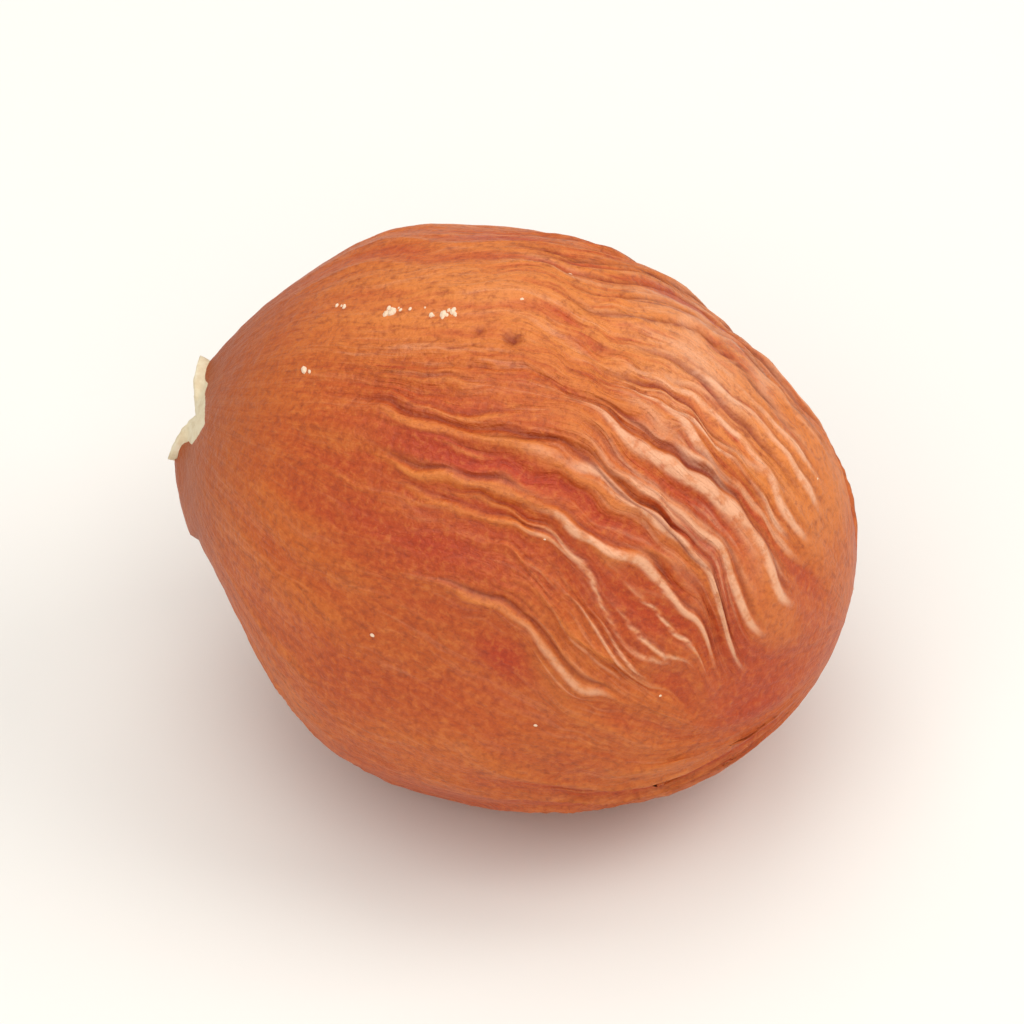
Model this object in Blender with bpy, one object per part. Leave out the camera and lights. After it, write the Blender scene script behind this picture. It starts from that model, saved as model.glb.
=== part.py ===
"""A shelled hazelnut kernel in its brown skin, lying on its side.

The kernel grew as one piece, so it is one solid: a plump body, drawn out to a
short broken root tip at one end and blunt at the other, with the folds of its
dried skin standing out of it. Its length lies along X, with the tip at -X and
a little raised. It rests on a small flat spot at Z 0, and the origin is in the
middle of its footprint.
"""

import math

import bmesh
import bpy
from mathutils import Matrix, Vector, noise

MM = 0.001

# Overall size, over the skin
LENGTH = 17.1 * MM
WIDTH = 14.0 * MM
HEIGHT = 13.6 * MM

# Outline: two superellipse halves that meet at the thickest place
BELLY_PLACE = 0.50
TIP_HALF_POWER = 1.78
BLUNT_HALF_POWER = 2.05

# Root tip: a flat oval stub, broken off short, on a beak that widens into the body
STUB_LENGTH = 0.40 * MM
STUB_HALF_WIDTH = 1.40 * MM
STUB_HALF_THICKNESS = 0.70 * MM
STUB_TURN = math.radians(38)
STUB_STEPS = 3
STUB_RIM_SHARE = 0.92
STUB_ROUNDING = 0.6
BEAK_REACH = 0.20
BEAK_FLARE = 12.0
BEAK_BLEND_POWER = 3

# Lobes round the section: how many, how high, where
LOBES = (
    (2, 0.016, math.radians(70)),
    (3, 0.020, math.radians(20)),
    (5, 0.008, math.radians(110)),
)
LOBE_TWIST = math.radians(35)
LOBES_IN_FULL = 0.3

# Broad swellings, and hollows below 0: along, turn, reach along, reach round, height
SWELLINGS = (
    (0.15, math.radians(45), 0.12, math.radians(30), 0.80 * MM),
    (0.11, math.radians(-135), 0.07, math.radians(30), -0.45 * MM),
    (0.34, math.radians(-135), 0.12, math.radians(26), 0.42 * MM),
    (0.75, math.radians(50), 0.20, math.radians(38), -0.55 * MM),
    (0.52, math.radians(-78), 0.24, math.radians(17), -0.26 * MM),
    (0.72, math.radians(150), 0.20, math.radians(24), -0.38 * MM),
    (0.34, math.radians(85), 0.22, math.radians(22), -0.28 * MM),
)

# Lines of the folds: from the tip to a point beside the blunt end, wavering on their way
FOLD_POLE_TURN = math.radians(-100)
FOLD_POLE_SHIFT = 0.5
FOLD_BEND_START = 0.5
FOLD_BEND_END = 0.95
WAVER = math.radians(4.5)
WAVERS_ALONG = 6.0
WAVERS_ROUND = 2.0

# Fine folds: crests crowded round the section and drawn out along the length
FOLD_HEIGHT = 0.24 * MM
FOLD_CROWDING = 5.2
FOLD_RUN = 1.6
FOLD_SHARPNESS = 2.2
FOLD_CREST_POWER = 1.6
FOLD_WANDER = 0.16
WANDERS_ROUND = 1.7
WANDERS_ALONG = 6.8

# Where the fine folds are strong or faint
STRENGTH_ROUND = 0.9
STRENGTH_ALONG = 3.6
STRENGTH_SHIFT = Vector((7, 3, 1))
STRENGTH_RANGE = (-0.35, 0.30)
FAINT_FOLD_SHARE = 0.45
FOLDS_START = 0.03
FOLDS_IN_FULL = 0.30
FOLDS_WANE = 0.86

# Bold crests: turn at the belly, start and end along the length, height
BOLD_CRESTS = (
    (math.radians(-63), 0.27, 0.82, 0.20 * MM),
    (math.radians(-47), 0.33, 0.84, 0.15 * MM),
    (math.radians(-40), 0.24, 0.90, 0.22 * MM),
    (math.radians(-30), 0.18, 0.94, 0.30 * MM),
    (math.radians(-18), 0.38, 0.96, 0.26 * MM),
    (math.radians(-8), 0.55, 0.96, 0.14 * MM),
    (math.radians(-1), 0.60, 0.96, 0.12 * MM),
    (math.radians(17), 0.45, 0.94, 0.12 * MM),
    (math.radians(52), 0.20, 0.85, 0.20 * MM),
    (math.radians(71), 0.35, 0.94, 0.26 * MM),
    (math.radians(84), 0.16, 0.80, 0.20 * MM),
    (math.radians(103), 0.30, 0.92, 0.28 * MM),
    (math.radians(124), 0.22, 0.74, 0.18 * MM),
    (math.radians(-146), 0.40, 0.92, 0.18 * MM),
)
CREST_HALF_WIDTH = 0.30 * MM
CREST_FADE = 0.16

# Patches where the skin lies smooth: along, turn, reach along, reach round, share of folds gone
SMOOTH_PATCHES = (
    (0.24, math.radians(-5), 0.24, math.radians(26), 0.75),
    (0.40, math.radians(-104), 0.30, math.radians(32), 0.80),
    (0.60, math.radians(180), 0.26, math.radians(34), 1.0),
)

# How the kernel lies
TIP_LIFT = math.radians(10)
REST_SPOT_DEPTH = 0.22 * MM

# Mesh
SEGMENTS_ROUND = 184
RINGS = 28

SKIN_COLOUR = (0.52, 0.20, 0.075, 1.0)
SKIN_ROUGHNESS = 0.55


def clear_scene():
    for obj in list(bpy.data.objects):
        bpy.data.objects.remove(obj)


def smooth_step(low, high, value):
    """0 at low, 1 at high and an S curve between."""
    share = min(max((value - low) / (high - low), 0.0), 1.0)
    return share * share * (3 - 2 * share)


def bump(distance, reach):
    """A bell of height 1 that has fallen to a third at its reach."""
    return math.exp(-((distance / reach) ** 2))


def angle_between(a, b):
    return (a - b + math.pi) % (2 * math.pi) - math.pi


def noise_at(along, line, rounds, run, shift=Vector()):
    """Smooth noise over the skin, which changes so much round the section and along the length."""
    return noise.noise(Vector((rounds * math.cos(line), rounds * math.sin(line), run * along)) + shift)


def belly_radius(along):
    """Radius as a share of the thickest one, at a share of the body's length."""
    if along < BELLY_PLACE:
        reach, power = (BELLY_PLACE - along) / BELLY_PLACE, TIP_HALF_POWER
    else:
        reach, power = (along - BELLY_PLACE) / (1 - BELLY_PLACE), BLUNT_HALF_POWER
    return max(1 - reach**power, 0.0) ** (1 / power)


def stub_radius(turn):
    """Radius of the root tip's oval section."""
    across = math.cos(turn - STUB_TURN) / STUB_HALF_WIDTH
    through = math.sin(turn - STUB_TURN) / STUB_HALF_THICKNESS
    return 1 / math.hypot(across, through)


def section_radius(turn):
    """Radius of the body's oval section, with turn measured from straight up."""
    across = math.sin(turn) / (WIDTH / 2)
    upright = math.cos(turn) / (HEIGHT / 2)
    return 1 / math.hypot(across, upright)


def lobe_share(along, turn):
    return sum(
        height * math.cos(count * (turn - place) + LOBE_TWIST * along)
        for count, height, place in LOBES
    )


def swelling(along, turn):
    return sum(
        height * bump(along - place, reach) * bump(angle_between(turn, side), spread)
        for place, side, reach, spread, height in SWELLINGS
    )


def fold_turn(along, line):
    """Turn of a fold line at a share of the length. The line is named by its turn at the belly."""
    shift = FOLD_POLE_SHIFT * smooth_step(FOLD_BEND_START, FOLD_BEND_END, along)
    pole = Vector((math.sin(FOLD_POLE_TURN), math.cos(FOLD_POLE_TURN))) * shift
    heading = Vector((math.sin(line), math.cos(line)))
    aside = pole.dot(heading)
    at = pole + heading * (math.sqrt(aside**2 + 1 - shift**2) - aside)
    return math.atan2(at.x, at.y) + WAVER * noise_at(along, line, WAVERS_ROUND, WAVERS_ALONG)


def fine_folds(along, line):
    """Crests that wander, part, meet and fade, from 0 to 1."""
    side = line + FOLD_WANDER * noise_at(along, line, WANDERS_ROUND, WANDERS_ALONG)
    dent = abs(noise_at(along, side, FOLD_CROWDING, FOLD_RUN))
    crest = max(1 - FOLD_SHARPNESS * dent, 0.0) ** FOLD_CREST_POWER
    patch = noise_at(along, line, STRENGTH_ROUND, STRENGTH_ALONG, STRENGTH_SHIFT)
    strong = smooth_step(*STRENGTH_RANGE, patch)
    return crest * (FAINT_FOLD_SHARE + (1 - FAINT_FOLD_SHARE) * strong)


def bold_crests(along, line):
    """Height of the few strong crests."""
    total = 0.0
    for side, start, end, height in BOLD_CRESTS:
        apart = angle_between(line, side) * belly_radius(along) * WIDTH / 2
        rise = smooth_step(start, start + CREST_FADE, along)
        fall = smooth_step(end, end - CREST_FADE, along)
        total += height * bump(apart, CREST_HALF_WIDTH) * rise * fall
    return total


def folded_share(along, turn):
    """How far the folds stand out here: 1 in full, 0 where the skin lies smooth."""
    share = smooth_step(FOLDS_START, FOLDS_IN_FULL, along) * smooth_step(1.0, FOLDS_WANE, along)
    for place, side, reach, spread, gone in SMOOTH_PATCHES:
        share *= 1 - gone * bump(along - place, reach) * bump(angle_between(turn, side), spread)
    return share


def smooth_radius(along, turn):
    """Distance from the kernel's axis to its skin, before the folds."""
    full = belly_radius(along) * section_radius(turn)
    full *= 1 + lobe_share(along, turn) * smooth_step(0.0, LOBES_IN_FULL, along)
    beak = stub_radius(turn) * (1 + BEAK_FLARE * along) * smooth_step(BEAK_REACH, 0.0, along)
    power = BEAK_BLEND_POWER
    radius = (full**power + beak**power) ** (1 / power)
    return radius + swelling(along, turn) * belly_radius(along)


def point_at(x, radius, turn):
    """A point round the X axis. Turn 0 is straight up."""
    return Vector((x, radius * math.sin(turn), radius * math.cos(turn)))


def fold_lines():
    return [2 * math.pi * step / SEGMENTS_ROUND for step in range(SEGMENTS_ROUND)]


def stub_ring(share):
    """A ring of the root tip's rounded end, at a share of the way out to its rim."""
    angle = share * math.pi / 2
    size = STUB_RIM_SHARE * math.sin(angle) ** STUB_ROUNDING
    x = STUB_LENGTH * (1 - math.cos(angle)) * STUB_RIM_SHARE
    return [point_at(x, size * stub_radius(line), line) for line in fold_lines()]


def skin_ring(along):
    """A ring of the skin. Its points lie on the fold lines, so the folds keep their crests."""
    x = STUB_LENGTH + (LENGTH - STUB_LENGTH) * along
    points = []
    for line in fold_lines():
        turn = fold_turn(along, line)
        folds = FOLD_HEIGHT * (fine_folds(along, line) - 0.5) + bold_crests(along, line)
        radius = smooth_radius(along, turn) + folds * folded_share(along, turn)
        points.append(point_at(x, radius, turn))
    return points


def kernel_rings():
    """Rings of points from the end of the root tip to the blunt end."""
    stub = [stub_ring(step / STUB_STEPS) for step in range(1, STUB_STEPS + 1)]
    skin = [skin_ring((1 - math.cos(math.pi * step / RINGS)) / 2) for step in range(RINGS)]
    return stub + skin


def build_body(bm):
    """Joins the rings with quads and closes both ends on a point."""
    rows = [[bm.verts.new(point) for point in ring] for ring in kernel_rings()]
    for near, far in zip(rows, rows[1:]):
        for step in range(SEGMENTS_ROUND):
            after = (step + 1) % SEGMENTS_ROUND
            bm.faces.new((near[step], near[after], far[after], far[step]))
    tip = bm.verts.new((0.0, 0.0, 0.0))
    blunt = bm.verts.new((LENGTH, 0.0, 0.0))
    for step in range(SEGMENTS_ROUND):
        after = (step + 1) % SEGMENTS_ROUND
        bm.faces.new((tip, rows[0][after], rows[0][step]))
        bm.faces.new((blunt, rows[-1][step], rows[-1][after]))
    bmesh.ops.recalc_face_normals(bm, faces=bm.faces)


def lay_down(bm):
    """Turns the body as it lies and cuts the small flat spot that it rests on."""
    bmesh.ops.rotate(bm, verts=bm.verts, matrix=Matrix.Rotation(TIP_LIFT, 3, "Y"))
    lowest = min(v.co.z for v in bm.verts)
    cut = bmesh.ops.bisect_plane(
        bm,
        geom=bm.verts[:] + bm.edges[:] + bm.faces[:],
        plane_co=(0, 0, lowest + REST_SPOT_DEPTH),
        plane_no=(0, 0, -1),
        clear_outer=True,
    )
    rim = [e for e in cut["geom_cut"] if isinstance(e, bmesh.types.BMEdge)]
    bmesh.ops.edgeloop_fill(bm, edges=rim)


def centre_on_footprint(bm):
    """Puts the origin in the middle of the kernel's box, at the height of its flat spot."""
    low = Vector([min(v.co[axis] for v in bm.verts) for axis in range(3)])
    high = Vector([max(v.co[axis] for v in bm.verts) for axis in range(3)])
    middle = (low + high) / 2
    bmesh.ops.translate(bm, verts=bm.verts, vec=(-middle.x, -middle.y, -low.z))


def skin_material():
    material = bpy.data.materials.new("kernel_skin")
    material.use_nodes = True
    shader = material.node_tree.nodes["Principled BSDF"]
    shader.inputs["Base Color"].default_value = SKIN_COLOUR
    shader.inputs["Roughness"].default_value = SKIN_ROUGHNESS
    shader.inputs["Metallic"].default_value = 0.0
    return material


def build_kernel():
    bm = bmesh.new()
    build_body(bm)
    lay_down(bm)
    centre_on_footprint(bm)
    mesh = bpy.data.meshes.new("kernel")
    bm.to_mesh(mesh)
    bm.free()
    mesh.materials.append(skin_material())
    mesh.shade_smooth()
    kernel = bpy.data.objects.new("kernel", mesh)
    bpy.context.scene.collection.objects.link(kernel)
    return kernel


clear_scene()
build_kernel()
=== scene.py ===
"""The looks of a shelled hazelnut kernel: its wrinkled skin, its broken root tip and its crumbs.

The file is laid out as a Blender add-on. Run as a script, it builds every piece round the packed
kernel, sets up the stage and hands the pieces over to the frame.
"""

import math
import random

import bmesh
import bpy
import numpy as np
from bpy.props import FloatProperty, FloatVectorProperty, IntProperty, PointerProperty
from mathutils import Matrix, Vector, noise
from mathutils.bvhtree import BVHTree


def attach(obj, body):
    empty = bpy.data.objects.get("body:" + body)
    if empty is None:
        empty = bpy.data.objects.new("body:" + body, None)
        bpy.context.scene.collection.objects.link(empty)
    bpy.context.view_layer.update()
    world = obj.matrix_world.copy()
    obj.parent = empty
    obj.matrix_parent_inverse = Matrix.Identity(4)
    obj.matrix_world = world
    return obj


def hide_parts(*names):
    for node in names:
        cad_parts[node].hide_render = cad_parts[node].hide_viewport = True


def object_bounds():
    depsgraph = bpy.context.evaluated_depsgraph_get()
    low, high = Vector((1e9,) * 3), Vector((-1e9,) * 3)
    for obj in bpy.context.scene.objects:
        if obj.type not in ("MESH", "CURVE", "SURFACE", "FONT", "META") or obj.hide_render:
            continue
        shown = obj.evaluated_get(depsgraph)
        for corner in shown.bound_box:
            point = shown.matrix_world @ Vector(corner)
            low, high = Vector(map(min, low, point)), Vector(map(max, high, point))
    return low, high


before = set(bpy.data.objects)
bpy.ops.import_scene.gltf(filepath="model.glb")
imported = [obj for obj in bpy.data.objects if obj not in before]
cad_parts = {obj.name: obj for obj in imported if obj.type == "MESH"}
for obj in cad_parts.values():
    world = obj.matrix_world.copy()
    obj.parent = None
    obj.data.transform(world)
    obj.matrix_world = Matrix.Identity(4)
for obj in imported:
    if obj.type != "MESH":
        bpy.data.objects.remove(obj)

bl_info = {
    "name": "Hazelnut kernel",
    "version": (1, 0, 0),
    "blender": (4, 5, 0),
    "location": "3D View > Sidebar > Hazelnut",
    "description": "Builds a wrinkled hazelnut kernel with its broken root tip, crumbs and a stage",
    "category": "Mesh",
}

MM = 0.001
CAD_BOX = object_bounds()
NODE = "kernel"
BODY = "root"

# The kernel's own shape, as its solid has it
STUB_LENGTH = 0.40 * MM
STUB_TURN = math.radians(38)
BELLY_PLACE = 0.50
TIP_HALF_POWER = 1.78
BLUNT_HALF_POWER = 2.05
BELLY_RADIUS = 7.0 * MM
FOLD_POLE_TURN = math.radians(-100)
FOLD_POLE_SHIFT = 0.5
FOLD_BEND_START = 0.5
FOLD_BEND_END = 0.95
WAVER = math.radians(4.5)
WAVERS_ALONG = 6.0
WAVERS_ROUND = 2.0
FOLD_HEIGHT = 0.24 * MM
FOLD_CROWDING = 5.2
FOLD_RUN = 1.6
FOLD_SHARPNESS = 2.2
FOLD_CREST_POWER = 1.6
FOLD_WANDER = 0.16
WANDERS_ROUND = 1.7
WANDERS_ALONG = 6.8
STRENGTH_ROUND = 0.9
STRENGTH_ALONG = 3.6
STRENGTH_SHIFT = (7, 3, 1)
STRENGTH_RANGE = (-0.35, 0.30)
FAINT_FOLD_SHARE = 0.45
FOLDS_START = 0.03
FOLDS_IN_FULL = 0.30
FOLDS_WANE = 0.86
CREST_FADE = 0.16
SOLID_CREST_HALF_WIDTH = 0.30 * MM

# Smooth patches: along, turn in degrees, reach along, reach round in degrees, share of folds gone
SMOOTH_PATCHES = (
    (0.24, -5, 0.24, 26, 0.75),
    (0.40, -104, 0.30, 32, 0.80),
    (0.60, 180, 0.26, 34, 1.0),
)

# The solid's bold crests: fold line in degrees, start and end along the length, height in mm
SOLID_CRESTS = (
    (-63, 0.27, 0.82, 0.20),
    (-47, 0.33, 0.84, 0.15),
    (-40, 0.24, 0.90, 0.22),
    (-30, 0.18, 0.94, 0.30),
    (-18, 0.38, 0.96, 0.26),
    (-8, 0.55, 0.96, 0.14),
    (-1, 0.60, 0.96, 0.12),
    (17, 0.45, 0.94, 0.12),
    (52, 0.20, 0.85, 0.20),
    (71, 0.35, 0.94, 0.26),
    (84, 0.16, 0.80, 0.20),
    (103, 0.30, 0.92, 0.28),
    (124, 0.22, 0.74, 0.18),
    (-146, 0.40, 0.92, 0.18),
)

# How the fine folds stray from the solid's straight fold lines, past the belly and near the blunt end:
# fold line, early stray and late stray in degrees, and how much sooner the early one comes
STRAYS = (
    (-180, 0, 0, 0),
    (-110, -5, 0, 0),
    (-75, -8, -5, 0),
    (-63, -9, -10, 0),
    (-50, -11, -14, 0),
    (-46, -10, -18, 0),
    (-42, 0, -24, 0),
    (-38, 9, -27, 0),
    (-29, 11, -24, 0),
    (-22, 13, -20, 0),
    (-16, 14, -6, 0),
    (-3, 13, -2, 0),
    (5, 17, 0, 0.01),
    (12, 26, 3, 0.04),
    (18, 31, 2, 0.08),
    (40, 26, 0, 0.10),
    (75, 8, 0, 0.08),
    (110, 0, 0, 0),
    (180, 0, 0, 0),
)
EARLY_STRAY = (0.52, 0.80)
LATE_STRAY = (0.80, 0.91)

# How far each crest sways on its own, in degrees, and how often along the length
CREST_SWAY = 2.6
SWAYS_ALONG = 9.0
SWAY_SHIFT = 3.5

# Fine crests: fold line in degrees, start, end, height and half width in mm, paleness
FINE_CRESTS = (
    # On the seen side, from the lowest up
    (-67, 0.46, 0.70, 0.05, 0.10, 0.3),
    (-63, 0.36, 0.76, 0.14, 0.14, 0.65),
    (-59, 0.42, 0.72, 0.05, 0.09, 0.3),
    (-55.5, 0.46, 0.78, 0.06, 0.09, 0.45),
    (-53, 0.40, 0.68, 0.05, 0.08, 0.35),
    (-50.5, 0.50, 0.82, 0.07, 0.09, 0.6),
    (-48, 0.56, 0.80, 0.06, 0.08, 0.5),
    (-46, 0.30, 0.82, 0.11, 0.12, 0.8),
    (-44, 0.60, 0.88, 0.08, 0.10, 0.6),
    (-42.8, 0.36, 0.72, 0.07, 0.09, 0.6),
    (-41.4, 0.62, 0.88, 0.08, 0.10, 0.7),
    (-39, 0.24, 0.90, 0.14, 0.16, 1.0),
    (-36.5, 0.58, 0.88, 0.04, 0.07, 0.3),
    (-29, 0.17, 0.93, 0.18, 0.19, 1.2),
    (-25.5, 0.46, 0.88, 0.06, 0.09, 0.5),
    (-22.5, 0.50, 0.93, 0.11, 0.16, 0.8),
    (-19.5, 0.58, 0.88, 0.04, 0.08, 0.4),
    (-16, 0.38, 0.95, 0.16, 0.17, 1.2),
    (-12, 0.60, 0.95, 0.10, 0.11, 0.9),
    (-9, 0.56, 0.95, 0.07, 0.10, 0.8),
    (-6.5, 0.50, 0.93, 0.06, 0.09, 0.7),
    (-1.5, 0.50, 0.95, 0.08, 0.13, 0.9),
    (4.5, 0.58, 0.95, 0.08, 0.13, 0.8),
    (8, 0.64, 0.93, 0.05, 0.10, 0.6),
    # By the root tip
    (-24, 0.12, 0.50, 0.12, 0.10, 0.0),
    (-21.5, 0.16, 0.42, 0.07, 0.07, 0.0),
    (-19, 0.10, 0.46, 0.13, 0.10, 0.0),
    (-16.5, 0.14, 0.44, 0.08, 0.08, 0.0),
    (-14, 0.14, 0.50, 0.11, 0.09, 0.0),
    (-11.5, 0.20, 0.46, 0.07, 0.07, 0.0),
    (-9.5, 0.12, 0.48, 0.09, 0.08, 0.0),
    (-34, 0.20, 0.50, 0.07, 0.09, 0.0),
    (-36.5, 0.26, 0.50, 0.05, 0.07, 0.0),
    # Over the top
    (11, 0.42, 0.93, 0.08, 0.10, 0.5),
    (14, 0.45, 0.92, 0.06, 0.09, 0.4),
    (17.5, 0.38, 0.94, 0.09, 0.11, 0.5),
    (21, 0.34, 0.90, 0.06, 0.09, 0.4),
    (25, 0.34, 0.90, 0.08, 0.10, 0.4),
    (30, 0.30, 0.88, 0.07, 0.10, 0.4),
    (36, 0.34, 0.90, 0.08, 0.10, 0.4),
    # On the hidden sides
    (52, 0.20, 0.83, 0.12, 0.15, 0.6),
    (58, 0.40, 0.88, 0.07, 0.10, 0.5),
    (64, 0.46, 0.84, 0.05, 0.09, 0.4),
    (71, 0.35, 0.88, 0.15, 0.15, 0.8),
    (77, 0.50, 0.90, 0.07, 0.10, 0.5),
    (84, 0.16, 0.80, 0.12, 0.14, 0.6),
    (90, 0.40, 0.86, 0.07, 0.10, 0.5),
    (96, 0.34, 0.80, 0.06, 0.09, 0.4),
    (103, 0.30, 0.86, 0.15, 0.15, 0.8),
    (110, 0.40, 0.84, 0.07, 0.10, 0.5),
    (124, 0.22, 0.74, 0.11, 0.13, 0.6),
    (-146, 0.40, 0.88, 0.12, 0.13, 0.6),
    (-138, 0.46, 0.84, 0.06, 0.10, 0.4),
    (-130, 0.50, 0.80, 0.05, 0.09, 0.3),
)

# Small crests all round the kernel, with the ranges of their start, run, height and half width
SMALL_CRESTS = 110
SMALL_CREST_SEED = 7
SMALL_CREST_JITTER = 0.35
SMALL_CREST_START = (0.12, 0.60)
SMALL_CREST_RUN = (0.15, 0.40)
SMALL_CREST_HEIGHT = (0.02, 0.06)
SMALL_CREST_HALF_WIDTH = (0.06, 0.10)
SMALL_CREST_PALENESS = 0.4

# Crests turn pale along this stretch, a little in front of their middle
PALE_FROM = (0.42, 0.67)
PALE_WIDTH = 0.95
PALE_SHIFT = 0.2

# Creases that stand alone, painted dark as shade: fold line in degrees, start, end, depth and half width
# in mm
CREASES = (
    (-4, 0.52, 0.84, 0.09, 0.08),
    (2, 0.56, 0.92, 0.10, 0.08),
    (-27, 0.36, 0.86, 0.06, 0.07),
    (-13.5, 0.52, 0.94, 0.06, 0.07),
    (9.5, 0.42, 0.92, 0.07, 0.07),
    (12.5, 0.44, 0.94, 0.10, 0.08),
    (16, 0.40, 0.94, 0.10, 0.08),
    (19.5, 0.36, 0.90, 0.07, 0.07),
    (23, 0.32, 0.88, 0.07, 0.07),
    (65, 0.40, 0.88, 0.09, 0.08),
    (98, 0.36, 0.84, 0.09, 0.08),
)
CREASE_FADE = 0.12

# Section of a crest, in shares of its height and half width: a broad foot, a steep back, and a groove
# behind it
CREST_FOOT = 0.35
CREST_FOOT_WIDTH = 2.2
CREST_BACK = 0.75
CREST_FRONT = 1.3
GROOVE_SHARE = 0.45
GROOVE_SHIFT = 1.5
GROOVE_WIDTH = 0.45

# Heights in mm from which a crest's ridge, and the shade painted in its groove, show in full
RIDGE_FULL = 0.10
GROOVE_FULL = 0.16

# Stretches over which a crest grows and fades, and how its height changes along its run
CREST_FADES = (0.16, 0.07)
CREST_MEAN_HEIGHT = 0.85
CREST_HEIGHT_CHANGE = 0.7
CREST_CHANGES = 11.0
CHANGE_SHIFT = 0.5

# Steps in the folds' run, on top of their waver, and how often they come round the kernel and along it
LONG_STEP = math.radians(3.0)
LONG_STEPS = (4.0, 9.0)
SHORT_STEP = math.radians(1.6)
SHORT_STEPS = (11.0, 26.0)
STEP_SHIFT = (3, 9, 5)

# Fine lines beside the folds
LINE_HEIGHT = 0.07 * MM
LINE_SHARPNESS = 3.0
LINE_CROWDING = 12.0
LINE_RUN = 4.5
LINE_SHIFT = (11, 2, 8)
LINE_PALENESS = 0.45
LINES_WANE = (0.96, 0.84)
FINE_FOLDS_WANE = 0.93

# How much the solid's pattern and the fine lines count as ridges, and how low they lie in a valley
PATTERN_RIDGE = 0.8
LINE_RIDGE = 0.6
VALLEY_RANGE = (0.45, 0.0)
VALLEY_CLEARANCE = 1.2

# Near the blunt end, the seen folds fade into smooth skin
CALM_LINE = math.radians(-58)
CALM_REACH = math.radians(24)
CALM_RUN = (0.80, 0.91)

# Patches of redder skin, one of them partly painted shade, and of paler skin, three of them partly painted
# sheen: along, fold line, reach along, reach round, strength. Angles are in degrees, here and in the
# patches below
RED_PATCHES = (
    (0.50, -34, 0.26, 3.2, 1.0),
    (0.34, -33, 0.09, 3.5, 0.7),
    (0.74, -25, 0.14, 2.6, 0.9),
    (0.80, -19, 0.11, 2.2, 1.0),
    (0.42, -56, 0.14, 6.0, 0.9),
    (0.56, -73, 0.05, 4.0, 1.0),
    (0.66, -43, 0.14, 5.0, 0.7),
    (0.30, -24, 0.12, 5.0, 0.5),
    (0.75, -72, 0.03, 5.0, 0.5),
    # Redder skin by the blunt end, and painted shade there as well
    (0.92, -50, 0.08, 35.0, 0.8),
    (0.50, 95, 0.20, 6.0, 0.9),
    (0.62, 62, 0.16, 5.0, 0.7),
    (0.55, 116, 0.14, 5.0, 0.7),
    (0.45, 140, 0.20, 12.0, 0.6),
    (0.60, -128, 0.20, 10.0, 0.5),
)
PALE_AND_SHEEN_PATCHES = (
    (0.30, 14, 0.22, 26, 0.70),
    # These three, on the upper side past the belly, are painted sheen as well as paler skin
    (0.60, 6, 0.22, 16, 0.70),
    (0.74, 4, 0.13, 9, 0.80),
    (0.90, -4, 0.10, 20, 0.50),
    (0.34, -2, 0.20, 9, 0.30),
    (0.62, 78, 0.20, 14, 0.60),
    (0.74, 92, 0.12, 9, 0.50),
    (0.60, -160, 0.24, 18, 0.50),
)

# Darker skin near the root tip fades out along this stretch, given from its end to its start
ROOT_SHADE = (0.18, -0.02)

# Where the skin shows fine lines, and its plain share of them elsewhere
LINED_PATCHES = (
    (0.72, -8, 0.26, 34, 0.9),
    (0.30, -18, 0.12, 10, 0.5),
    (0.60, 30, 0.30, 20, 0.7),
    (0.60, 84, 0.30, 34, 0.7),
    (0.60, -146, 0.25, 14, 0.5),
)
PLAIN_LINES = 0.25

# Where whitish crumbs lie thickly
DUST_PATCHES = (
    (0.17, 4.5, 0.009, 1.6, 0.7),
    (0.25, 1.5, 0.008, 1.1, 1.2),
    (0.285, 0.3, 0.010, 0.8, 0.8),
    (0.325, -0.4, 0.016, 0.9, 0.8),
    (0.15, -20, 0.007, 1.2, 0.7),
    (0.60, 110, 0.030, 2.0, 0.3),
)
THIN_DUST = 0.0003

# Small holes, with shade painted into them: along, fold line in degrees, radius and depth in mm
PITS = (
    (0.38, -5.5, 0.12, 0.10),
    (0.43, -6.5, 0.18, 0.18),
    (0.40, 118, 0.14, 0.12),
    (0.63, -128, 0.12, 0.10),
)

# Flap of torn skin below the root tip, with a shadow painted into the crack where it ends
FLAP_TURN = math.radians(-137)
FLAP_SPREAD = math.radians(16)
FLAP_HEIGHT = 0.13 * MM
FLAP_START = 0.5 * MM
FLAP_END = 1.3 * MM
FLAP_DROP = 0.15 * MM
FLAP_CRACK_SHADOW = 0.6 * FLAP_DROP

# Skin mesh. Its columns lie on the fine folds' lines, and crowd on the seen side
COLUMNS = 560
ROWS = 172
CROWDED_LINE = math.radians(-20)
CROWDING = 0.45

# Fold lines on which the solid's radius is sampled, and its blur along and round, in samples
SAMPLED_LINES = 480
FORM_BLUR = (2.0, 5.0)

# Inner side of the skin's torn edge, which closes at a point inside the flesh
SKIN_THICKNESS = 0.10 * MM
LIP_RINGS = 3
LIP_LENGTH = 0.25 * MM
LIP_THICKENING = 3
LIP_LEAST_RADIUS = 0.1 * MM
LIP_POLE = 1.5 * MM

# Broken root tip: the flesh ends in a notched edge, and the skin ends a little behind it
FLESH_NOTCH = 0.50 * MM
FLESH_ROUNDING = 0.10 * MM
SKIN_BEHIND = 0.26 * MM
RIM_RAGGEDNESS = 0.08 * MM
RIM_TEETH = 3.5
FLESH_UNDER = 0.07 * MM
FLESH_NARROWING = 0.12 * MM
FLESH_LEAST_RADIUS = 0.15 * MM
FLESH_HIDDEN = 1.6 * MM
FLESH_COLUMNS = 200
FLESH_ROWS = 22
FACE_ROWS = 16
FACE_ROUGHNESS = 0.07 * MM
FACE_GRAIN = 2600.0
FINER_GRAIN = 2.3

# How often the skin's patterns change: over a metre, or round the kernel and along it
WRINKLES = (24.0, 24.0, 7.0)
RELIEF_GRAIN = 2400.0
DIMPLES = 1900.0
BLOTCHES = 300.0
STREAKS = (26.0, 26.0, 6.0)
HAIRLINES = (80.0, 80.0, 12.0)
COLOUR_GRAIN = (36.0, 36.0, 44.0)
CREST_BREAKS = 2600.0
FINEST_GRAIN = 6500.0

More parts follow.
